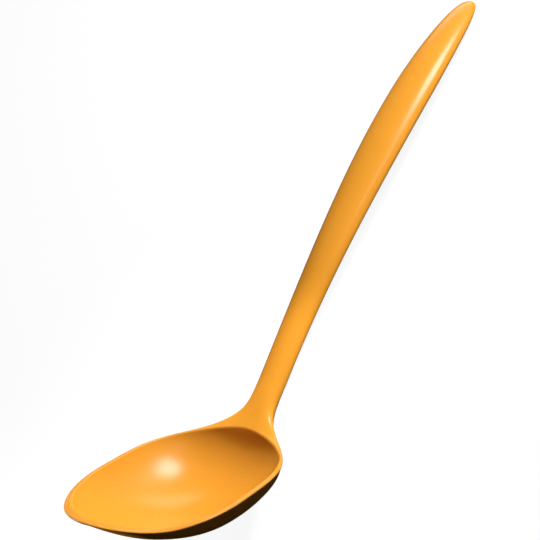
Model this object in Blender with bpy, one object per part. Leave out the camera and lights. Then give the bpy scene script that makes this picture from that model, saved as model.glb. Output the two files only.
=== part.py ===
"""Cooking spoon: a moulded bowl with a neck and tang, and a handle that takes the tang.

Lengths along the spoon follow its spine, a line that starts at the tip of the bowl, dips to the
level of the rim, runs across the bowl, bends up through the neck and eases off along the handle.
Each cross-section stands square to the spine. The finished spoon lies on a table, on the back of
its bowl and the end of its handle, with the bowl towards -X and +Z up.
"""
import math

import bmesh
import bpy
import numpy as np

MM = 0.001

# Lengths along the spine: tip to widest point, shoulders, swelling handle, and its round end.
TIP_LENGTH = 40.5 * MM
SHOULDER_LENGTH = 64.0 * MM
HANDLE_SWELL_LENGTH = 158.5 * MM
HANDLE_END_LENGTH = 69.0 * MM

# Side view: how the tip lifts, and how the spine bends up around the neck and eases off.
TIP_LIFT = math.radians(16.5)
TIP_LIFT_LENGTH = 15.0 * MM
BEND_BEFORE_NECK = 38.5 * MM
BEND_PAST_NECK = 8.5 * MM
NECK_CLIMB = math.radians(44.0)
END_CLIMB = math.radians(25.5)

# Outside of the bowl. A curve is the two powers of a fall from full size to nothing.
BOWL_WIDTH = 60.5 * MM
TIP_CURVE = (2.15, 0.455)
SHOULDER_CURVE = (4.0, 4.0)
BOWL_DEPTH = 16.0 * MM
DEEPEST_PAST_WIDEST = 7.5 * MM
FRONT_DEPTH_CURVE = (1.95, 1.09)
BACK_DEPTH_CURVE = (1.4, 1.1)
RIM_RISE = 0.75 * MM
TIP_RISE_POWER = 0.8

# Hollow of the bowl. Its edge stands RIM_RISE above the outline, so the rim slopes outwards.
RIM_WIDTH = 1.7 * MM
TIP_RIM_WIDTH = 3.2 * MM
FLOOR_THICKNESS = 3.0 * MM
HOLLOW_TO_NECK = 19.4 * MM
HOLLOW_BACK_CURVE = (3.6, 0.57)
HOLLOW_FRONT_DEPTH_CURVE = (1.95, 1.0)
HOLLOW_BACK_DEPTH_CURVE = (2.6, 0.9)
HOLLOW_SECTION_CURVE = (2.0, 0.9)

# Neck and handle.
NECK_WIDTH = 11.3 * MM
NECK_THICKNESS = 8.0 * MM
NECK_CROWN_LENGTH = 25.0 * MM
HANDLE_WIDTH = 20.0 * MM
HANDLE_THICKNESS = 8.5 * MM
HANDLE_SWELL_CURVE = (2.0, 2.7)
HANDLE_END_CURVE = (1.48, 0.32)

# Joint: the bowl's tang sits in the handle's socket, and the two meet flush round the neck.
NECK_STUB_LENGTH = 15.5 * MM
JOINT_GAP = 0.3 * MM
TANG_LENGTH = 36.0 * MM
TANG_TIP_TAPER = 0.8
SOCKET_CLEARANCE = 0.3 * MM
SOCKET_SIDE_WALL = 2.5 * MM
SOCKET_FACE_WALL = 1.4 * MM

# Sole: the small flat on the back of the bowl that the spoon lies on.
SOLE_DEPTH = 0.3 * MM

# Places along the spine that follow from the lengths.
BOWL_WIDEST_AT = TIP_LENGTH
BOWL_DEEPEST_AT = BOWL_WIDEST_AT + DEEPEST_PAST_WIDEST
NECK_AT = BOWL_WIDEST_AT + SHOULDER_LENGTH
HOLLOW_ENDS_AT = NECK_AT - HOLLOW_TO_NECK
JOINT_AT = NECK_AT + NECK_STUB_LENGTH
HANDLE_WIDEST_AT = NECK_AT + HANDLE_SWELL_LENGTH
SPINE_LENGTH = HANDLE_WIDEST_AT + HANDLE_END_LENGTH
BEND_STARTS_AT = NECK_AT - BEND_BEFORE_NECK
BEND_ENDS_AT = NECK_AT + BEND_PAST_NECK

# The tang fills the neck's section but for the socket's walls and the clearance.
TANG_WIDTH = NECK_WIDTH - 2 * (SOCKET_SIDE_WALL + SOCKET_CLEARANCE)
TANG_THICKNESS = NECK_THICKNESS - 2 * (SOCKET_FACE_WALL + SOCKET_CLEARANCE)

# Mesh density: points round a section, and sections along each stretch of the spine.
SPINE_SAMPLES = 2000
BOWL_RING_POINTS = 32
HANDLE_RING_POINTS = 20
TANG_RING_POINTS = 12
TIP_SAMPLES = 13
SHOULDER_SAMPLES = 20
NECK_SAMPLES = 4
HOLLOW_FRONT_SAMPLES = 12
HOLLOW_BACK_SAMPLES = 16
HANDLE_SWELL_SAMPLES = 22
HANDLE_END_SAMPLES = 14
SHARP_EDGE = math.radians(50)

# Search for the tilt at which the spoon lies on the table.
STEEPEST_TILT = math.radians(60)
TILT_HALVINGS = 60

# Satin moulding plastic.
ORANGE = (0.80, 0.32, 0.028, 1.0)
ROUGHNESS = 0.3
METALLIC = 0.0


def along(s, start, end):
    """How far s has come from start to end, held between 0 and 1."""
    return np.clip((s - start) / (end - start), 0.0, 1.0)


def ease(t):
    """A smooth step from 0 to 1."""
    return t * t * (3.0 - 2.0 * t)


def falloff(t, curve):
    """1 at t = 0 and 0 at t = 1, full and round for a small second power, hollow for a large one."""
    return np.maximum(1.0 - t ** curve[0], 0.0) ** curve[1]


def heading(s):
    """Climb of the spine above the level of the rim."""
    tip = -TIP_LIFT * along(s, TIP_LIFT_LENGTH, 0.0)
    bend = NECK_CLIMB * ease(along(s, BEND_STARTS_AT, BEND_ENDS_AT))
    return tip + bend + (END_CLIMB - NECK_CLIMB) * along(s, BEND_ENDS_AT, SPINE_LENGTH)


def spine_points():
    """Spine stations with their X, Z and climb, added up along the curve."""
    s = np.linspace(0.0, SPINE_LENGTH, SPINE_SAMPLES)
    climb = heading(s)
    middle = (climb[1:] + climb[:-1]) / 2.0
    x = np.concatenate([[0.0], np.cumsum(np.cos(middle) * np.diff(s))])
    z = np.concatenate([[0.0], np.cumsum(np.sin(middle) * np.diff(s))])
    return s, x, z, climb


SPINE = spine_points()


def place(s, y, n):
    """The point at s along the spine, y to its side and n above it."""
    stations, xs, zs, climbs = SPINE
    x, z, climb = (np.interp(s, stations, values) for values in (xs, zs, climbs))
    return x - n * math.sin(climb), y, z + n * math.cos(climb)


def half_width(s):
    """Half the width of the outline: tip, shoulders, neck, handle and its round end."""
    bowl, neck, handle = BOWL_WIDTH / 2, NECK_WIDTH / 2, HANDLE_WIDTH / 2
    if s < BOWL_WIDEST_AT:
        return bowl * falloff(along(s, BOWL_WIDEST_AT, 0.0), TIP_CURVE)
    if s < NECK_AT:
        return neck + (bowl - neck) * falloff(along(s, BOWL_WIDEST_AT, NECK_AT), SHOULDER_CURVE)
    if s < HANDLE_WIDEST_AT:
        swell = 1.0 - falloff(along(s, NECK_AT, HANDLE_WIDEST_AT), HANDLE_SWELL_CURVE)
        return neck + (handle - neck) * swell
    return handle * falloff(along(s, HANDLE_WIDEST_AT, SPINE_LENGTH), HANDLE_END_CURVE)


def half_thickness(s):
    """Half the thickness of the neck and handle."""
    neck, handle = NECK_THICKNESS / 2, HANDLE_THICKNESS / 2
    if s < HANDLE_WIDEST_AT:
        return neck + (handle - neck) * ease(along(s, NECK_AT, HANDLE_WIDEST_AT))
    return handle * falloff(along(s, HANDLE_WIDEST_AT, SPINE_LENGTH), HANDLE_END_CURVE)


def depth_below(s):
    """Depth of the outside below the spine."""
    if s < BOWL_DEEPEST_AT:
        return BOWL_DEPTH * falloff(along(s, BOWL_DEEPEST_AT, 0.0), FRONT_DEPTH_CURVE)
    if s < NECK_AT:
        neck = NECK_THICKNESS / 2
        return neck + (BOWL_DEPTH - neck) * falloff(along(s, BOWL_DEEPEST_AT, NECK_AT), BACK_DEPTH_CURVE)
    return half_thickness(s)


def hollow_half_width(s):
    """Half the width of the hollow at the rim."""
    widest = BOWL_WIDTH / 2 - RIM_WIDTH
    if s < BOWL_WIDEST_AT:
        return widest * falloff(along(s, BOWL_WIDEST_AT, TIP_RIM_WIDTH), TIP_CURVE)
    return widest * falloff(along(s, BOWL_WIDEST_AT, HOLLOW_ENDS_AT), HOLLOW_BACK_CURVE)


def hollow_depth(s):
    """Depth of the hollow below its edge."""
    deepest = BOWL_DEPTH - FLOOR_THICKNESS + RIM_RISE
    if s < BOWL_DEEPEST_AT:
        return deepest * falloff(along(s, BOWL_DEEPEST_AT, TIP_RIM_WIDTH), HOLLOW_FRONT_DEPTH_CURVE)
    return deepest * falloff(along(s, BOWL_DEEPEST_AT, HOLLOW_ENDS_AT), HOLLOW_BACK_DEPTH_CURVE)


def height_above(s):
    """Height of the outside above the spine: the rim's dome over the bowl, a round top past it."""
    if s < TIP_RIM_WIDTH:
        return RIM_RISE * (s / TIP_RIM_WIDTH) ** TIP_RISE_POWER
    dome = RIM_RISE / math.sqrt(1.0 - (hollow_half_width(s) / half_width(s)) ** 2)
    rise = ease(along(s, NECK_AT - NECK_CROWN_LENGTH, NECK_AT))
    return dome * (1.0 - rise) + half_thickness(s) * rise


def ring(s, half, above, below, points):
    """One section: an ellipse whose upper and lower halves have their own heights."""
    loop = []
    for i in range(points):
        turn = 2.0 * math.pi * i / points
        rise = above if i < points / 2 else below
        loop.append(place(s, half * math.cos(turn), rise * math.sin(turn)))
    return loop


def hollow_ring(s):
    """One section of the hollow's cutter: the hollow below its edge, and a lid that clears the rim."""
    half = hollow_half_width(s)
    lid = BOWL_DEPTH * half / hollow_half_width(BOWL_WIDEST_AT)
    loop = []
    for i in range(BOWL_RING_POINTS):
        turn = 2.0 * math.pi * i / BOWL_RING_POINTS
        across = math.cos(turn)
        rise = lid * math.sin(turn)
        if i > BOWL_RING_POINTS / 2:
            rise = -hollow_depth(s) * falloff(abs(across), HOLLOW_SECTION_CURVE)
        loop.append(place(s, half * across, RIM_RISE + rise))
    return loop


def outside_rings(stations, points):
    return [ring(s, half_width(s), height_above(s), depth_below(s), points) for s in stations]


def loft(name, rings, collection, first_pole=None, last_pole=None):
    """A closed solid through rings of equal count, each end a pole or a flat face."""
    mesh = bpy.data.meshes.new(name)
    solid = bpy.data.objects.new(name, mesh)
    collection.objects.link(solid)
    bm = bmesh.new()
    loops = [[bm.verts.new(point) for point in loop] for loop in rings]
    for near, far in zip(loops, loops[1:]):
        for i, corner in enumerate(near):
            j = (i + 1) % len(near)
            bm.faces.new((corner, near[j], far[j], far[i]))
    for loop, pole in ((loops[0], first_pole), (loops[-1], last_pole)):
        if pole is None:
            bm.faces.new(loop)
            continue
        tip = bm.verts.new(pole)
        for i, corner in enumerate(loop):
            bm.faces.new((corner, loop[(i + 1) % len(loop)], tip))
    bmesh.ops.recalc_face_normals(bm, faces=bm.faces)
    bm.to_mesh(mesh)
    bm.free()
    mesh.shade_smooth()
    mesh.set_sharp_from_angle(angle=SHARP_EDGE)
    return solid


def spaced(start, end, count, crowd_start=False, crowd_end=False):
    """Stations from start to end, closer together at a crowded end."""
    t = np.linspace(0.0, 1.0, count)
    if crowd_start:
        t = 1.0 - np.cos(t * math.pi / 2.0)
    if crowd_end:
        t = np.sin(t * math.pi / 2.0)
    return [float(v) for v in start + (end - start) * t]


def combine(solid, former, name, operation):
    """Join the former's shape to the solid, or take it out."""
    boolean = solid.modifiers.new(name, "BOOLEAN")
    boolean.operation = operation
    boolean.solver = "EXACT"
    boolean.object = former
    former.hide_render = True
    former.display_type = "WIRE"


def plastic(name):
    """Satin orange moulding plastic."""
    material = bpy.data.materials.new(name)
    material.use_nodes = True
    shader = material.node_tree.nodes["Principled BSDF"]
    shader.inputs["Base Color"].default_value = ORANGE
    shader.inputs["Roughness"].default_value = ROUGHNESS
    shader.inputs["Metallic"].default_value = METALLIC
    return material


def tang_rings(start, end, clearance):
    """A flat oval tang along the spine, thinner towards its end, grown by a clearance all round."""
    loops = []
    for s, size in ((start, 1.0), (end, TANG_TIP_TAPER)):
        half = TANG_WIDTH / 2 * size + clearance
        rise = TANG_THICKNESS / 2 * size + clearance
        loops.append(ring(s, half, rise, rise, TANG_RING_POINTS))
    return loops


def make_bowl(parts, cutters):
    """Bowl, neck and tang in one moulding, hollowed from above."""
    stations = spaced(0.0, BOWL_WIDEST_AT, TIP_SAMPLES, crowd_start=True)[1:]
    stations += spaced(BOWL_WIDEST_AT, NECK_AT, SHOULDER_SAMPLES)[1:]
    stations += spaced(NECK_AT, JOINT_AT, NECK_SAMPLES)[1:]
    rings = outside_rings(stations, BOWL_RING_POINTS)
    bowl = loft("bowl", rings, parts, first_pole=place(0.0, 0.0, 0.0))
    root = JOINT_AT - JOINT_GAP
    tang = loft("tang_former", tang_rings(root, JOINT_AT + TANG_LENGTH, 0.0), cutters)
    combine(bowl, tang, "tang", "UNION")

    stations = spaced(TIP_RIM_WIDTH, BOWL_WIDEST_AT, HOLLOW_FRONT_SAMPLES, crowd_start=True)[1:]
    stations += spaced(BOWL_WIDEST_AT, HOLLOW_ENDS_AT, HOLLOW_BACK_SAMPLES, crowd_end=True)[1:-1]
    rings = [hollow_ring(s) for s in stations]
    ends = place(TIP_RIM_WIDTH, 0.0, RIM_RISE), place(HOLLOW_ENDS_AT, 0.0, RIM_RISE)
    hollow = loft("hollow_cutter", rings, cutters, first_pole=ends[0], last_pole=ends[1])
    combine(bowl, hollow, "hollow", "DIFFERENCE")
    bowl.data.materials.append(plastic("bowl_plastic"))
    return bowl, [tang, hollow]


def make_handle(parts, cutters):
    """Handle with a socket for the tang in its lower end."""
    start = JOINT_AT + JOINT_GAP
    stations = spaced(start, HANDLE_WIDEST_AT, HANDLE_SWELL_SAMPLES)
    stations += spaced(HANDLE_WIDEST_AT, SPINE_LENGTH, HANDLE_END_SAMPLES, crowd_end=True)[1:-1]
    rings = outside_rings(stations, HANDLE_RING_POINTS)
    handle = loft("handle", rings, parts, last_pole=place(SPINE_LENGTH, 0.0, 0.0))
    mouth = JOINT_AT - JOINT_GAP
    depth = JOINT_AT + TANG_LENGTH + SOCKET_CLEARANCE
    socket = loft("socket_cutter", tang_rings(mouth, depth, SOCKET_CLEARANCE), cutters)
    combine(handle, socket, "socket", "DIFFERENCE")
    handle.data.materials.append(plastic("handle_plastic"))
    return handle, [socket]


def corners(solid):
    """The solid's vertices as an array, before it is laid down."""
    return np.array([vertex.co for vertex in solid.data.vertices])


def laid_down(points, tilt):
    """X and Z of points once the spoon is tilted back by tilt."""
    x = points[:, 0] * math.cos(tilt) + points[:, 2] * math.sin(tilt)
    z = points[:, 2] * math.cos(tilt) - points[:, 0] * math.sin(tilt)
    return x, z


def resting_tilt(bowl, handle):
    """The tilt at which the handle's end meets the table while the bowl rests on its sole."""
    low, high = 0.0, STEEPEST_TILT
    for _ in range(TILT_HALVINGS):
        tilt = (low + high) / 2
        clearance = laid_down(handle, tilt)[1].min() - laid_down(bowl, tilt)[1].min() - SOLE_DEPTH
        low, high = (tilt, high) if clearance > 0.0 else (low, tilt)
    return (low + high) / 2


def lay_on_table(bowl, handle, formers, parts, cutters):
    """Tilt the spoon back onto the table and flatten the sole."""
    bowl_points, handle_points = corners(bowl), corners(handle)
    tilt = resting_tilt(bowl_points, handle_points)
    bowl_x, bowl_z = laid_down(bowl_points, tilt)
    handle_x, handle_z = laid_down(handle_points, tilt)
    middle = (bowl_x.min() + handle_x.max()) / 2
    stand = bpy.data.objects.new("lying_spoon", None)
    parts.objects.link(stand)
    stand.rotation_euler = (0.0, tilt, 0.0)
    stand.location = (-middle, 0.0, -handle_z.min())
    for solid in [bowl, handle] + formers:
        solid.parent = stand

    sole_x = bowl_x[bowl_z.argmin()] - middle
    bpy.ops.mesh.primitive_cube_add(size=BOWL_WIDTH, location=(sole_x, 0.0, -BOWL_WIDTH / 2))
    table = bpy.context.object
    table.name = "sole_cutter"
    for holder in list(table.users_collection):
        holder.objects.unlink(table)
    cutters.objects.link(table)
    combine(bowl, table, "sole", "DIFFERENCE")


def main():
    for old in list(bpy.data.objects):
        bpy.data.objects.remove(old, do_unlink=True)
    parts = bpy.data.collections.new("cooking_spoon")
    cutters = bpy.data.collections.new("cutters")
    for collection in (parts, cutters):
        bpy.context.scene.collection.children.link(collection)
    bowl, bowl_formers = make_bowl(parts, cutters)
    handle, handle_formers = make_handle(parts, cutters)
    lay_on_table(bowl, handle, bowl_formers + handle_formers, parts, cutters)


main()
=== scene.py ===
"""Looks of the cooking spoon: smooth bowl and handle surfaces, satin orange plastic, and a plain studio.

The spoon's own frame is the one its sizes are written in: the spine starts at the tip of the bowl,
s runs along it, y across it and n square to it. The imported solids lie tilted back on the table, so
every point goes from the spoon's frame to the table by one turn and one shift.
"""

import math

import bmesh
import bpy
import numpy as np
from mathutils import Matrix, Vector


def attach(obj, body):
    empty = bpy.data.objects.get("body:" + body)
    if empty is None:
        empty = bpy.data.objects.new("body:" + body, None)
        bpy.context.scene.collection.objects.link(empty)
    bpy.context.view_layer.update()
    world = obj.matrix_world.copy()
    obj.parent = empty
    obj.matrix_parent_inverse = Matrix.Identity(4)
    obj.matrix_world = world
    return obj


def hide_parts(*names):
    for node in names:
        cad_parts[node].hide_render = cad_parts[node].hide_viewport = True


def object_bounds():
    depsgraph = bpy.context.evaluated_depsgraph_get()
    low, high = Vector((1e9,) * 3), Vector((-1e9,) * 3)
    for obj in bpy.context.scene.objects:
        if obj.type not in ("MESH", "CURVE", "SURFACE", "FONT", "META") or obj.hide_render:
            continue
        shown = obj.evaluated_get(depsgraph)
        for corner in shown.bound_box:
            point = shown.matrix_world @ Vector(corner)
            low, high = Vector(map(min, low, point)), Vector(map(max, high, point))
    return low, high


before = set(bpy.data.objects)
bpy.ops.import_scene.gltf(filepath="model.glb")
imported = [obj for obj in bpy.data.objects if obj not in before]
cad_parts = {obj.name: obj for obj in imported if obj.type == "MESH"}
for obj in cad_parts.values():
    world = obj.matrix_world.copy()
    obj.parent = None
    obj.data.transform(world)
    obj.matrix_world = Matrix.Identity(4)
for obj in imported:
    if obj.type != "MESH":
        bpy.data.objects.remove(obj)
cad_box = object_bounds()

MM = 0.001
NOTHING = 1e-6 * MM

# Spine of the spoon.
TIP_LENGTH = 40.5 * MM
SHOULDER_LENGTH = 64.0 * MM
HANDLE_SWELL_LENGTH = 158.5 * MM
HANDLE_END_LENGTH = 69.0 * MM
TIP_LIFT = math.radians(16.5)
TIP_LIFT_LENGTH = 15.0 * MM
BEND_BEFORE_NECK = 38.5 * MM
BEND_PAST_NECK = 8.5 * MM
NECK_CLIMB = math.radians(44.0)
END_CLIMB = math.radians(25.5)

# Outside of the bowl. A curve is the two powers of a fall from full size to nothing.
BOWL_WIDTH = 60.5 * MM
TIP_CURVE = (2.15, 0.455)
SHOULDER_CURVE = (4.0, 4.0)
BOWL_DEPTH = 16.0 * MM
DEEPEST_PAST_WIDEST = 7.5 * MM
FRONT_DEPTH_CURVE = (1.95, 1.09)
BACK_DEPTH_CURVE = (1.4, 1.1)
RIM_RISE = 0.75 * MM
TIP_RISE_POWER = 0.8

# Hollow of the bowl. Its edge stands RIM_RISE above the outline, so the rim slopes outwards.
RIM_WIDTH = 1.7 * MM
TIP_RIM_WIDTH = 3.2 * MM
FLOOR_THICKNESS = 3.0 * MM
HOLLOW_TO_NECK = 19.4 * MM
HOLLOW_BACK_CURVE = (3.6, 0.57)
HOLLOW_FRONT_DEPTH_CURVE = (1.95, 1.0)
HOLLOW_BACK_DEPTH_CURVE = (2.6, 0.9)
HOLLOW_SECTION_CURVE = (2.0, 0.9)

# Neck and handle.
NECK_WIDTH = 11.3 * MM
NECK_THICKNESS = 8.0 * MM
NECK_CROWN_LENGTH = 25.0 * MM
NECK_STUB_LENGTH = 15.5 * MM
HANDLE_WIDTH = 20.0 * MM
HANDLE_THICKNESS = 8.5 * MM
HANDLE_SWELL_CURVE = (2.0, 2.7)
HANDLE_END_CURVE = (1.48, 0.32)

# Rounding of the rim: how far from each edge the round starts, and where it fades into the neck.
# The hollow's edge gets rounder over its last stretch before the neck.
INNER_ROUND = 0.6 * MM
BACK_ROUND = 1.0 * MM
BACK_ROUND_LENGTH = 22.0 * MM
OUTER_ROUND = 0.5 * MM
LIP_HEIGHT = 0.7 * MM
LIP_OVERHANG = 0.6 * MM
ROUND_FADE_LENGTH = 25.0 * MM

# Places along the spine that follow from the lengths.
BOWL_WIDEST_AT = TIP_LENGTH
BOWL_DEEPEST_AT = BOWL_WIDEST_AT + DEEPEST_PAST_WIDEST
NECK_AT = BOWL_WIDEST_AT + SHOULDER_LENGTH
HOLLOW_ENDS_AT = NECK_AT - HOLLOW_TO_NECK
JOINT_AT = NECK_AT + NECK_STUB_LENGTH
HANDLE_WIDEST_AT = NECK_AT + HANDLE_SWELL_LENGTH
SPINE_LENGTH = HANDLE_WIDEST_AT + HANDLE_END_LENGTH
BEND_STARTS_AT = NECK_AT - BEND_BEFORE_NECK
BEND_ENDS_AT = NECK_AT + BEND_PAST_NECK

# The bowl's mesh is a fan of rays from a point over its floor. It meets the neck's rings on a line.
FAN_AT = (TIP_RIM_WIDTH + HOLLOW_ENDS_AT) / 2
NECK_LINE_TO_NECK = 4.5 * MM
NECK_LINE_AT = NECK_AT - NECK_LINE_TO_NECK

# Mesh density. Crowding is a power that draws rows together towards one end.
SPINE_SAMPLES = 4000
NECK_SIDE_POINTS = 24
BOWL_SIDE_RAYS = 84
RAY_CROWDING = 1.5
HOLLOW_RINGS = 30
INNER_ROUND_RINGS = 7
RIM_RINGS = 8
OUTER_ROUND_RINGS = 8
UNDERSIDE_RINGS = 36
UNDERSIDE_CROWDING = 1.3
NECK_RINGS = 14
HANDLE_RINGS = 90
HANDLE_END_RINGS = 40
HANDLE_END_CROWDING = 3
PROFILE_SAMPLES = 240
HALVINGS = 50
WELD_DISTANCE = 0.0005 * MM

# Photograph's camera, in the spoon's own frame.
CAMERA_AT = (-256.98 * MM, -244.26 * MM, 175.29 * MM)
CAMERA_AZIMUTH = math.radians(-56.142)
CAMERA_ELEVATION = math.radians(15.316)
CAMERA_ROLL = math.radians(-3.039)
CAMERA_LENS = 81.90
CAMERA_CLIP_START = 10.0 * MM

# Plastic: its colours, the share of the pale one in the speckle and on the rim's rounds (wear and
# painted highlight), and its gloss.
FULL_ORANGE = (0.81, 0.325, 0.029, 1.0)
DEEP_ORANGE = (0.79, 0.314, 0.026, 1.0)
PALE_ORANGE = (0.84, 0.39, 0.07, 1.0)
SPECKLE = 0.06
# The pale share on the rim's rounds is partly wear and partly a painted highlight.
RUBBING_AND_SHEEN = (0.12, 0.30)
BOWL_GLOSS = 0.15
HANDLE_GLOSS = 0.105
ROUGHNESS = (0.22, 0.26)
SCUFF_ROUGHNESS = 0.08
RUB_ROUGHNESS = 0.15

# Patterns in the plastic: bumps to the metre, detail, height, and the stretch of the noise that counts.
CLOUD_SCALE = 26.0
CLOUD_DETAIL = 3.0
RIPPLE_SCALE = 60.0
RIPPLE_DETAIL = 1.0
RIPPLE_HEIGHT = 0.03 * MM
SOFT_STRETCH = (0.3, 0.7)
GRAIN_SCALE = 900.0
GRAIN_DETAIL = 2.0
GRAIN_HEIGHT = 0.006 * MM
GRAIN_STRETCH = (0.35, 0.75)
SCUFF_SCALE = (70.0, 2600.0, 2600.0)
SCUFF_DETAIL = 1.0
SCUFF_DEPTH = 0.0025 * MM
SCUFF_STRETCH = (0.66, 0.74)

# Studio: the patch of floor round the spoon that reflections show dark, the floor's share of shadow,
# and the white round it.
FLOOR_SIZE = 6.0
FLOOR_DROP = 0.1 * MM
SHADE_STRETCH = 0.45
SHADE_REACH = (0.20, 0.60)
SHADOW_SHARE = 0.10
LIT_SHARE = 0.17
FLOOR_BOUNCE = 0.10
SKY_WHITE = 0.92
SKY_FILL = 0.018

# What the lamps face: points of the spoon's frame, and places along the handle.
HOLLOW_POINT = (32.0 * MM, 0.0, -6.0 * MM)
HIGHLIGHT_POINT = (61.0 * MM, 17.6 * MM, -9.5 * MM)
NECK_LAMP_AT = NECK_AT + 12.0 * MM
LOW_LAMP_AT = NECK_AT + 45.0 * MM
GRIP_LAMP_AT = NECK_AT + 108.0 * MM


def along(s, start, end):
    """How far s has come from start to end, held between 0 and 1."""
    return np.clip((s - start) / (end - start), 0.0, 1.0)


def ease(t):
    """A smooth step from 0 to 1."""
    return t * t * (3.0 - 2.0 * t)


def falloff(t, curve):
    """1 at t = 0 and 0 at t = 1."""
    return np.maximum(1.0 - t ** curve[0], 0.0) ** curve[1]


def heading(s):
    """Climb of the spine above the level of the rim."""
    tip = -TIP_LIFT * along(s, TIP_LIFT_LENGTH, 0.0)
    bend = NECK_CLIMB * ease(along(s, BEND_STARTS_AT, BEND_ENDS_AT))
    return tip + bend + (END_CLIMB - NECK_CLIMB) * along(s, BEND_ENDS_AT, SPINE_LENGTH)


def spine_points():
    """Spine stations with their X, Z and climb, added up along the curve."""
    s = np.linspace(0.0, SPINE_LENGTH, SPINE_SAMPLES)
    climb = heading(s)
    middle = (climb[1:] + climb[:-1]) / 2.0
    x = np.concatenate([[0.0], np.cumsum(np.cos(middle) * np.diff(s))])
    z = np.concatenate([[0.0], np.cumsum(np.sin(middle) * np.diff(s))])
    return s, x, z, climb


SPINE = spine_points()


def place(s, y, n):
    """Points at s along the spine, y to its side and n above it, in the spoon's frame."""
    stations, xs, zs, climbs = SPINE
    x, z, climb = (np.interp(s, stations, values) for values in (xs, zs, climbs))
    return np.stack([x - n * np.sin(climb), y + 0.0 * x, z + n * np.cos(climb)], axis=-1)


def half_width(s):
    """Half the width of the outline: tip, shoulders, neck, handle and its round end."""
    bowl, neck, handle = BOWL_WIDTH / 2, NECK_WIDTH / 2, HANDLE_WIDTH / 2
    tip = bowl * falloff(along(s, BOWL_WIDEST_AT, 0.0), TIP_CURVE)
    shoulder = neck + (bowl - neck) * falloff(along(s, BOWL_WIDEST_AT, NECK_AT), SHOULDER_CURVE)
    swell = 1.0 - falloff(along(s, NECK_AT, HANDLE_WIDEST_AT), HANDLE_SWELL_CURVE)
    grip = neck + (handle - neck) * swell
    end = handle * falloff(along(s, HANDLE_WIDEST_AT, SPINE_LENGTH), HANDLE_END_CURVE)
    places = [s < BOWL_WIDEST_AT, s < NECK_AT, s < HANDLE_WIDEST_AT]
    return np.select(places, [tip, shoulder, grip], end)


def half_thickness(s):
    """Half the thickness of the neck and handle."""
    neck, handle = NECK_THICKNESS / 2, HANDLE_THICKNESS / 2
    grip = neck + (handle - neck) * ease(along(s, NECK_AT, HANDLE_WIDEST_AT))
    end = handle * falloff(along(s, HANDLE_WIDEST_AT, SPINE_LENGTH), HANDLE_END_CURVE)
    return np.where(s < HANDLE_WIDEST_AT, grip, end)


def depth_below(s):
    """Depth of the outside below the spine."""
    neck = NECK_THICKNESS / 2
    front = BOWL_DEPTH * falloff(along(s, BOWL_DEEPEST_AT, 0.0), FRONT_DEPTH_CURVE)
    back = neck + (BOWL_DEPTH - neck) * falloff(along(s, BOWL_DEEPEST_AT, NECK_AT), BACK_DEPTH_CURVE)
    return np.select([s < BOWL_DEEPEST_AT, s < NECK_AT], [front, back], half_thickness(s))


def hollow_half_width(s):
    """Half the width of the hollow at the rim."""
    widest = BOWL_WIDTH / 2 - RIM_WIDTH
    front = widest * falloff(along(s, BOWL_WIDEST_AT, TIP_RIM_WIDTH), TIP_CURVE)
    back = widest * falloff(along(s, BOWL_WIDEST_AT, HOLLOW_ENDS_AT), HOLLOW_BACK_CURVE)
    return np.where(s < BOWL_WIDEST_AT, front, back)


def hollow_depth(s):
    """Depth of the hollow below its edge."""
    deepest = BOWL_DEPTH - FLOOR_THICKNESS + RIM_RISE
    front = deepest * falloff(along(s, BOWL_DEEPEST_AT, TIP_RIM_WIDTH), HOLLOW_FRONT_DEPTH_CURVE)
    back = deepest * falloff(along(s, BOWL_DEEPEST_AT, HOLLOW_ENDS_AT), HOLLOW_BACK_DEPTH_CURVE)
    return np.where(s < BOWL_DEEPEST_AT, front, back)


def height_above(s):
    """Height of the outside above the spine: the rim's dome over the bowl, a round top past it."""
    tip = RIM_RISE * along(s, 0.0, TIP_RIM_WIDTH) ** TIP_RISE_POWER
    share = hollow_half_width(s) / np.maximum(half_width(s), NOTHING)
    dome = RIM_RISE / np.sqrt(1.0 - share ** 2)
    rise = ease(along(s, NECK_AT - NECK_CROWN_LENGTH, NECK_AT))
    return np.where(s < TIP_RIM_WIDTH, tip, dome * (1.0 - rise) + half_thickness(s) * rise)


def across(s, y, half):
    """How far y lies from the spine to the edge of a section."""
    return np.clip(np.abs(y) / np.maximum(half(s), NOTHING), 0.0, 1.0)


def top_of(s, y):
    """Height of the outside's top."""
    return height_above(s) * np.sqrt(1.0 - across(s, y, half_width) ** 2)


def underside_of(s, y):
    """Height of the outside's underside."""
    return -depth_below(s) * np.sqrt(1.0 - across(s, y, half_width) ** 2)


def hollow_of(s, y):
    """Height of the hollow's surface."""
    return RIM_RISE - hollow_depth(s) * falloff(across(s, y, hollow_half_width), HOLLOW_SECTION_CURVE)


def reach(angle, half):
    """How far a ray of the fan runs before it leaves an outline."""
    near, far = 0.0, BOWL_WIDTH + SHOULDER_LENGTH
    for _ in range(HALVINGS):
        middle = (near + far) / 2
        s = FAN_AT + middle * math.cos(angle)
        inside = abs(middle * math.sin(angle)) < half(np.array(s))
        near, far = (middle, far) if inside else (near, middle)
    return (near + far) / 2


def fan_angles():
    """Angles of the rays on one side, from the neck's middle to the tip, and how many meet the neck."""
    turns = np.linspace(math.pi / 2, 0.0, NECK_SIDE_POINTS // 2 + 1)
    half = float(half_width(np.array(NECK_LINE_AT)))
    neck = np.arctan2(half * np.cos(turns), NECK_LINE_AT - FAN_AT)
    steps = (np.arange(1, BOWL_SIDE_RAYS + 1) / BOWL_SIDE_RAYS) ** RAY_CROWDING
    return np.concatenate([neck, neck[-1] + (math.pi - neck[-1]) * steps]), len(neck)


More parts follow.
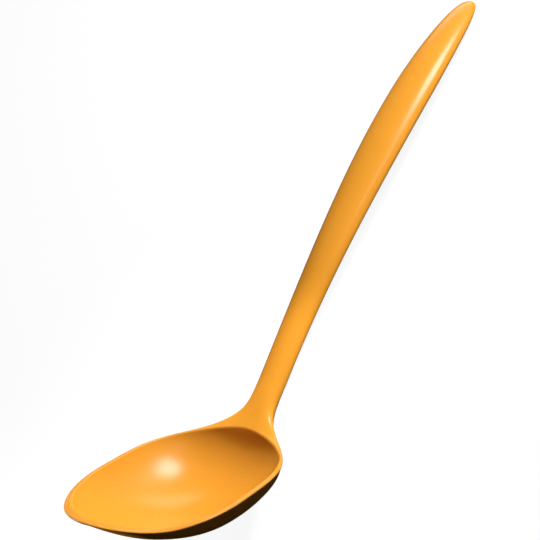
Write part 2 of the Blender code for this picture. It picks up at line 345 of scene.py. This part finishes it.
class Profile:
    """A line of (distance from the fan's point, height) pairs, read by its length from one end."""

    def __init__(self, distance, height):
        self.points = np.stack([distance, height], axis=1)
        steps = np.linalg.norm(np.diff(self.points, axis=0), axis=1)
        self.length = np.concatenate([[0.0], np.cumsum(steps)])

    def at(self, length):
        columns = (np.interp(length, self.length, column) for column in self.points.T)
        return np.stack(list(columns), axis=-1)


def rounded(start, corner, end, count):
    """A round from start to end that is tangent to both legs of the corner."""
    t = np.linspace(0.0, 1.0, count + 2)[1:-1, None]
    return (1 - t) ** 2 * start + 2 * t * (1 - t) * corner + t ** 2 * end


def ray_profile(angle, meets_neck):
    """One ray of the bowl, from the hollow's middle over the rim to the middle of the underside."""
    cos, sin = math.cos(angle), math.sin(angle)
    to_edge = reach(angle, hollow_half_width)
    to_outline = (NECK_LINE_AT - FAN_AT) / cos if meets_neck else reach(angle, half_width)
    quarter = np.linspace(0.0, math.pi / 2, PROFILE_SAMPLES)

    out = to_edge * np.cos(quarter)
    edge = np.array([to_edge, float(top_of(FAN_AT + to_edge * cos, to_edge * sin))])
    wall = Profile(
        np.concatenate([[to_edge], out]),
        np.concatenate([[edge[1]], hollow_of(FAN_AT + out * cos, out * sin)]),
    )
    out = to_edge + (to_outline - to_edge) * np.sin(quarter)
    rim = Profile(out, top_of(FAN_AT + out * cos, out * sin))
    edge_s = FAN_AT + to_edge * cos
    inner = INNER_ROUND + (BACK_ROUND - INNER_ROUND) * float(
        ease(along(edge_s, HOLLOW_ENDS_AT - BACK_ROUND_LENGTH, HOLLOW_ENDS_AT)))
    outline_s = FAN_AT + to_outline * cos
    fade = float(ease(along(outline_s, NECK_LINE_AT, NECK_LINE_AT - ROUND_FADE_LENGTH)))
    lip = 0.0 if meets_neck else fade
    outer = OUTER_ROUND * lip
    grown = to_outline * np.cos(quarter)
    out = grown - LIP_OVERHANG * lip * np.cos(quarter)
    back = underside_of(FAN_AT + grown * cos, grown * sin)
    under = np.minimum(back, -LIP_HEIGHT * lip * np.cos(quarter))
    if not meets_neck:
        out, under = np.concatenate([[to_outline], out]), np.concatenate([[0.0], under])
    below = Profile(out, under)
    rim_end = rim.length[-1] - outer

    hollow = wall.at(np.linspace(wall.length[-1], inner, HOLLOW_RINGS))
    inner_round = rounded(hollow[-1], edge, rim.at(inner), INNER_ROUND_RINGS)
    top = rim.at(inner + (rim_end - inner) * np.sin(np.linspace(0.0, math.pi / 2, RIM_RINGS)))
    steps = np.linspace(0.0, 1.0, UNDERSIDE_RINGS) ** UNDERSIDE_CROWDING
    under = below.at(outer + (below.length[-1] - outer) * steps)
    corner = rim.points[-1] if meets_neck else np.array([to_outline, 0.0])
    outer_round = rounded(top[-1], corner, under[0], OUTER_ROUND_RINGS)

    line = np.concatenate([hollow, inner_round, top, outer_round, under])
    return FAN_AT + line[:, 0] * cos, line[:, 0] * sin, line[:, 1]


def section(s, count):
    """A ring round the neck or handle, from one side over the top to the other and back below."""
    turn = np.arange(2 * count) * math.pi / count
    lift = np.where(turn <= math.pi, height_above(s), depth_below(s))
    return place(np.full(2 * count, s), half_width(s) * np.cos(turn), lift * np.sin(turn))


def lying_matrix():
    """From the spoon's frame to the table. The tip is the box's highest corner, the end its far side."""
    low, high = cad_box
    _, xs, zs, _ = SPINE
    chord = math.hypot(xs[-1], zs[-1])
    tilt = math.atan2(zs[-1], xs[-1]) + math.acos((high.x - low.x) / chord)
    return Matrix.Translation((low.x, 0.0, high.z)) @ Matrix.Rotation(tilt, 4, "Y")


LYING = lying_matrix()


def on_table(points):
    """Points of the spoon's frame on the table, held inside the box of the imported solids."""
    turn = np.array(LYING.to_3x3())
    moved = points @ turn.T + np.array(LYING.translation)
    return np.clip(moved, *np.array(cad_box))


def mesh_object(name, points, faces, wear_and_sheen=None):
    """A smooth mesh from points of the spoon's frame, with its faces pointing out."""
    bm = bmesh.new()
    # A mask on the rim's rounds that paints them paler: partly wear, partly a painted highlight.
    wear_and_sheen_layer = bm.verts.layers.float.new("wear_and_sheen")
    verts = [bm.verts.new(point) for point in on_table(points)]
    if wear_and_sheen is not None:
        for vert, value in zip(verts, wear_and_sheen):
            vert[wear_and_sheen_layer] = value
    for face in faces:
        bm.faces.new([verts[i] for i in face])
    bmesh.ops.remove_doubles(bm, verts=bm.verts, dist=WELD_DISTANCE)
    bmesh.ops.recalc_face_normals(bm, faces=bm.faces)
    for face in bm.faces:
        face.smooth = True
        if len(face.verts) > 4:
            for edge in face.edges:
                edge.smooth = False
    mesh = bpy.data.meshes.new(name)
    bm.to_mesh(mesh)
    bm.free()
    piece = bpy.data.objects.new(name, mesh)
    bpy.context.scene.collection.objects.link(piece)
    return piece


def strip(first, second, closed):
    """Faces between two rows of point numbers."""
    count = len(first)
    ends = range(count if closed else count - 1)
    return [(first[i], first[(i + 1) % count], second[(i + 1) % count], second[i]) for i in ends]


def make_bowl():
    """Bowl and neck, up to the joint with the handle."""
    side, at_neck = fan_angles()
    angles = np.concatenate([side, -side[-2:0:-1]])
    neck_rays = list(range(at_neck)) + list(range(len(angles) - at_neck + 1, len(angles)))
    points = []
    for i, angle in enumerate(angles):
        points.append(place(*ray_profile(angle, i in neck_rays)))
    rings = len(points[0])
    points = np.concatenate(points)
    rows = [[ray * rings + ring for ray in range(len(angles))] for ring in range(rings)]

    top_end = HOLLOW_RINGS + INNER_ROUND_RINGS + RIM_RINGS
    under_start = top_end + OUTER_ROUND_RINGS
    open_rays = range(at_neck - 1, len(angles) - at_neck + 1)
    faces = []
    for ring in range(rings - 1):
        if top_end - 1 <= ring < under_start:
            near, far = ([rows[r][ray] for ray in open_rays] for r in (ring, ring + 1))
            faces += strip(near, far, closed=False)
        else:
            faces += strip(rows[ring], rows[ring + 1], closed=True)

    over = [rows[top_end - 1][ray] for ray in neck_line(at_neck, len(angles))]
    under = [rows[under_start][ray] for ray in neck_line(at_neck, len(angles))]
    loop = over + under[-2:0:-1]
    total = len(points)
    tube = []
    for s in np.linspace(NECK_LINE_AT, JOINT_AT, NECK_RINGS)[1:]:
        tube.append(section(s, NECK_SIDE_POINTS))
        new = list(range(total, total + 2 * NECK_SIDE_POINTS))
        total += len(new)
        faces += strip(loop, new, closed=True)
        loop = new
    faces.append(tuple(loop))
    points = np.concatenate([points] + tube)
    return mesh_object("spoon_bowl", points, faces, rim_wear_and_sheen(len(angles), rings, len(points)))


def neck_line(at_neck, count):
    """Ray numbers across the neck, from one side to the other."""
    return list(range(at_neck - 1, -1, -1)) + list(range(count - 1, count - at_neck, -1))


def rim_wear_and_sheen(rays, rings, total):
    """1 on the rounds of the rim, which are painted paler as wear and as a painted highlight, 0
    elsewhere.
    """
    wear_and_sheen = np.zeros(total)
    inner = HOLLOW_RINGS + np.arange(INNER_ROUND_RINGS)
    outer = HOLLOW_RINGS + INNER_ROUND_RINGS + RIM_RINGS + np.arange(OUTER_ROUND_RINGS)
    for ray in range(rays):
        wear_and_sheen[ray * rings + np.concatenate([inner, outer])] = 1.0
    return wear_and_sheen


def make_handle():
    """Handle from the joint to its round end."""
    stations = list(np.linspace(JOINT_AT, HANDLE_WIDEST_AT, HANDLE_RINGS))
    rest = np.linspace(1.0, 0.0, HANDLE_END_RINGS + 1)[1:-1] ** HANDLE_END_CROWDING
    stations += list(SPINE_LENGTH - HANDLE_END_LENGTH * rest)
    points, rows, faces = [], [], []
    for i, s in enumerate(stations):
        points.append(section(s, NECK_SIDE_POINTS))
        rows.append(list(range(i * 2 * NECK_SIDE_POINTS, (i + 1) * 2 * NECK_SIDE_POINTS)))
    for near, far in zip(rows, rows[1:]):
        faces += strip(near, far, closed=True)
    pole = len(stations) * 2 * NECK_SIDE_POINTS
    points.append(place(np.array([SPINE_LENGTH]), np.array([0.0]), np.array([0.0])))
    last = rows[-1]
    faces += [(last[i], last[(i + 1) % len(last)], pole) for i in range(len(last))]
    faces.append(tuple(rows[0]))
    return mesh_object("spoon_handle", np.concatenate(points), faces)


def add_node(tree, kind, inputs, **settings):
    """A node with its settings, and with inputs that are numbers or sockets to link from."""
    node = tree.nodes.new(kind)
    for name, value in settings.items():
        setattr(node, name, value)
    for name, value in inputs.items():
        if isinstance(value, bpy.types.NodeSocket):
            tree.links.new(value, node.inputs[name])
        else:
            node.inputs[name].default_value = value
    return node


def noise(tree, vector, scale, detail):
    """Noise with so many bumps to the metre."""
    inputs = {"Vector": vector, "Scale": scale, "Detail": detail}
    return add_node(tree, "ShaderNodeTexNoise", inputs).outputs["Fac"]


def remap(tree, value, stretch, target=(0.0, 1.0)):
    """The value's stretch from low to high, carried over to a target stretch."""
    limits = dict(zip(("From Min", "From Max", "To Min", "To Max"), stretch + target))
    return add_node(tree, "ShaderNodeMapRange", {"Value": value, **limits}).outputs["Result"]


def maths(tree, operation, first, second):
    """Two values put together."""
    return add_node(tree, "ShaderNodeMath", {0: first, 1: second}, operation=operation).outputs[0]


def blend(tree, share, first, second):
    """One colour going over to another."""
    inputs = {"Factor": share, 6: first, 7: second}
    return add_node(tree, "ShaderNodeMix", inputs, data_type="RGBA").outputs[2]


def orange_plastic(name, gloss):
    """Satin moulded plastic: cloudy orange, a fine grain, hairline scuffs, and rim rounds painted paler,
    partly as wear and partly as a painted highlight.
    """
    material = bpy.data.materials.new(name)
    material.use_nodes = True
    tree = material.node_tree
    shader = tree.nodes["Principled BSDF"]
    at = add_node(tree, "ShaderNodeTexCoord", {}).outputs["Object"]
    wear_and_sheen = add_node(tree, "ShaderNodeAttribute", {}, attribute_name="wear_and_sheen").outputs["Fac"]
    clouds = noise(tree, at, CLOUD_SCALE, CLOUD_DETAIL)
    grain = noise(tree, at, GRAIN_SCALE, GRAIN_DETAIL)
    ripple = noise(tree, at, RIPPLE_SCALE, RIPPLE_DETAIL)
    drawn = add_node(tree, "ShaderNodeVectorMath", {0: at, 1: SCUFF_SCALE}, operation="MULTIPLY")
    scuffs = remap(tree, noise(tree, drawn.outputs["Vector"], 1.0, SCUFF_DETAIL), SCUFF_STRETCH)

    tone = blend(tree, remap(tree, clouds, SOFT_STRETCH), DEEP_ORANGE, FULL_ORANGE)
    speckled = blend(tree, remap(tree, grain, GRAIN_STRETCH, (0.0, SPECKLE)), tone, PALE_ORANGE)
    # Paler rim rounds: partly wear, partly a painted highlight along the rim.
    rubbed_and_sheen = maths(tree, "MULTIPLY", wear_and_sheen, remap(tree, ripple, SOFT_STRETCH, RUBBING_AND_SHEEN))
    tree.links.new(blend(tree, rubbed_and_sheen, speckled, PALE_ORANGE), shader.inputs["Base Color"])

    satin = remap(tree, clouds, SOFT_STRETCH, ROUGHNESS)
    scuffed = maths(tree, "ADD", satin, maths(tree, "MULTIPLY", scuffs, SCUFF_ROUGHNESS))
    dulled = maths(tree, "ADD", scuffed, maths(tree, "MULTIPLY", rubbed_and_sheen, RUB_ROUGHNESS))
    tree.links.new(dulled, shader.inputs["Roughness"])
    shader.inputs["Specular IOR Level"].default_value = gloss

    moulded = add_node(tree, "ShaderNodeBump", {"Height": ripple, "Distance": RIPPLE_HEIGHT})
    inputs = {"Height": grain, "Distance": GRAIN_HEIGHT, "Normal": moulded.outputs["Normal"]}
    grained = add_node(tree, "ShaderNodeBump", inputs)
    inputs = {"Height": scuffs, "Distance": SCUFF_DEPTH, "Normal": grained.outputs["Normal"]}
    scratched = add_node(tree, "ShaderNodeBump", inputs, invert=True)
    tree.links.new(scratched.outputs["Normal"], shader.inputs["Normal"])
    return material


def grey(share):
    """A grey that throws back so much of the light."""
    return (share, share, share, 1.0)


def studio_white(name):
    """White to the eye, faintly shaded, and dark to the light that bounces off it.

    Reflections show it white too, but for the shaded patch under and round the spoon.
    """
    material = bpy.data.materials.new(name)
    material.use_nodes = True
    material.cycles.emission_sampling = "NONE"
    tree = material.node_tree
    tree.nodes.clear()
    path = add_node(tree, "ShaderNodeLightPath", {})
    at = add_node(tree, "ShaderNodeTexCoord", {}).outputs["Object"]
    inputs = {0: at, 1: (SHADE_STRETCH, 1.0, 0.0)}
    stretched = add_node(tree, "ShaderNodeVectorMath", inputs, operation="MULTIPLY")
    inputs = {0: stretched.outputs["Vector"]}
    away = add_node(tree, "ShaderNodeVectorMath", inputs, operation="LENGTH")
    inputs = {"Value": away.outputs["Value"], "From Min": SHADE_REACH[0], "From Max": SHADE_REACH[1]}
    fade = add_node(tree, "ShaderNodeMapRange", inputs, interpolation_type="SMOOTHSTEP")

    glow = add_node(tree, "ShaderNodeEmission", {"Strength": 1.0 - SHADOW_SHARE})
    lit = add_node(tree, "ShaderNodeBsdfDiffuse", {"Color": grey(LIT_SHARE)})
    seen = add_node(tree, "ShaderNodeAddShader", {0: glow.outputs[0], 1: lit.outputs[0]})
    mirrored = add_node(tree, "ShaderNodeEmission", {"Strength": fade.outputs["Result"]})
    dark = add_node(tree, "ShaderNodeBsdfDiffuse", {"Color": grey(FLOOR_BOUNCE)})
    either = maths(tree, "MAXIMUM", path.outputs["Is Glossy Ray"], path.outputs["Is Transmission Ray"])
    inputs = {"Fac": either, 1: dark.outputs[0], 2: mirrored.outputs[0]}
    unseen = add_node(tree, "ShaderNodeMixShader", inputs)
    inputs = {"Fac": path.outputs["Is Camera Ray"], 1: unseen.outputs[0], 2: seen.outputs[0]}
    surface = add_node(tree, "ShaderNodeMixShader", inputs)
    add_node(tree, "ShaderNodeOutputMaterial", {"Surface": surface.outputs[0]})
    return material


def make_floor():
    """Plain white floor."""
    bpy.ops.mesh.primitive_plane_add(size=FLOOR_SIZE, location=(0.0, 0.0, -FLOOR_DROP))
    floor = bpy.context.object
    floor.name = "floor"
    floor.data.materials.append(studio_white("floor_white"))


def make_sky():
    """White round the floor to the eye, and a faint fill from all round."""
    world = bpy.data.worlds.new("studio")
    world.use_nodes = True
    tree = world.node_tree
    path = add_node(tree, "ShaderNodeLightPath", {})
    seen = maths(tree, "MULTIPLY", path.outputs["Is Camera Ray"], SKY_WHITE)
    strength = maths(tree, "ADD", seen, SKY_FILL)
    background = tree.nodes["Background"]
    background.inputs["Color"].default_value = grey(1.0)
    tree.links.new(strength, background.inputs["Strength"])
    bpy.context.scene.world = world


def make_camera():
    """The photograph's camera."""
    sin_a, cos_a = math.sin(CAMERA_AZIMUTH), math.cos(CAMERA_AZIMUTH)
    sin_e, cos_e = math.sin(CAMERA_ELEVATION), math.cos(CAMERA_ELEVATION)
    back = Vector((sin_a * cos_e, -cos_a * cos_e, sin_e))
    right = Vector((cos_a, sin_a, 0.0))
    turn = Matrix((right, back.cross(right), back)).transposed().to_4x4()
    roll = Matrix.Rotation(CAMERA_ROLL, 4, "Z")
    data = bpy.data.cameras.new("camera")
    data.lens = CAMERA_LENS
    data.clip_start = CAMERA_CLIP_START
    camera = bpy.data.objects.new("camera", data)
    bpy.context.scene.collection.objects.link(camera)
    camera.matrix_world = LYING @ Matrix.Translation(CAMERA_AT) @ turn @ roll
    bpy.context.scene.camera = camera
    return camera


def spine_point(s):
    """The spine's point at s, in the spoon's frame."""
    return place(np.array([s]), np.array([0.0]), np.array([0.0]))[0]


def stand_lamp(data, target, direction, distance):
    """Stand a lamp so far from a point of the spoon's frame, in a direction of that frame, facing it."""
    target = Vector(target)
    lamp = bpy.data.objects.new(data.name, data)
    bpy.context.scene.collection.objects.link(lamp)
    lamp.location = LYING @ (target + distance * Vector(direction).normalized())
    lamp.rotation_euler = (lamp.location - LYING @ target).to_track_quat("Z", "Y").to_euler()
    return lamp


def soft_lamp(name, target, direction, distance, power, width, height):
    """A round or oval panel."""
    data = bpy.data.lights.new(name, "AREA")
    data.shape = "ELLIPSE"
    data.size = width
    data.size_y = height
    data.energy = power
    return stand_lamp(data, target, direction, distance)


def pool_lamp(name, target, direction, distance, power, size, pool, softness):
    """A panel behind a round mask, which lights a soft pool about its target."""
    data = bpy.data.lights.new(name, "SPOT")
    data.energy = power
    data.shadow_soft_size = size / 2
    data.spot_size = 2 * math.atan(pool / 2 / distance)
    data.spot_blend = softness
    return stand_lamp(data, target, direction, distance)


def make_lamps():
    """A key from behind the handle, fills that leave the hollow's back in shade, and a back light."""
    soft_lamp("key", HIGHLIGHT_POINT, (0.47, -0.16, 0.868), distance=0.63,
              power=3.0, width=0.17, height=0.17)
    soft_lamp("back_strip", HOLLOW_POINT, (0.718, 0.308, 0.625), distance=1.5,
              power=1.8, width=0.80, height=0.17)
    bowl_key = pool_lamp("bowl_key", HOLLOW_POINT, (0.53, -0.16, 0.83), distance=0.9,
                         power=156.0, size=0.22, pool=0.110, softness=0.7)
    bowl_key.visible_glossy = False
    pool_lamp("handle_top", spine_point(GRIP_LAMP_AT), (0.0, -0.35, 0.93), distance=0.8,
              power=3.3, size=0.20, pool=0.24, softness=0.6)
    pool_lamp("handle_side", spine_point(GRIP_LAMP_AT), (-0.2, -0.97, 0.05), distance=0.7,
              power=5.2, size=0.03, pool=0.27, softness=0.4)
    pool_lamp("low_handle", spine_point(LOW_LAMP_AT), (-0.6, -0.6, 0.5), distance=0.7,
              power=2.0, size=0.04, pool=0.12, softness=0.7)
    pool_lamp("bowl_back", HOLLOW_POINT, (-0.38, 0.92, -0.10), distance=0.7,
              power=20.0, size=0.10, pool=0.15, softness=0.6)
    pool_lamp("neck", spine_point(NECK_LAMP_AT), (-0.6, -0.42, 0.67), distance=0.7,
              power=7.8, size=0.024, pool=0.064, softness=0.5)


def dress(piece, node, material_slot, gloss):
    """The piece stands for its solid and takes its finish."""
    piece.data.materials.append(orange_plastic(material_slot, gloss))
    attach(piece, "root")
    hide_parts(node)


def main():
    """Build the spoon and its studio."""
    dress(make_bowl(), "bowl", "bowl_plastic", BOWL_GLOSS)
    dress(make_handle(), "handle", "handle_plastic", HANDLE_GLOSS)
    make_floor()
    make_camera()
    make_lamps()
    make_sky()
    bpy.context.scene.view_settings.view_transform = "Standard"


main()
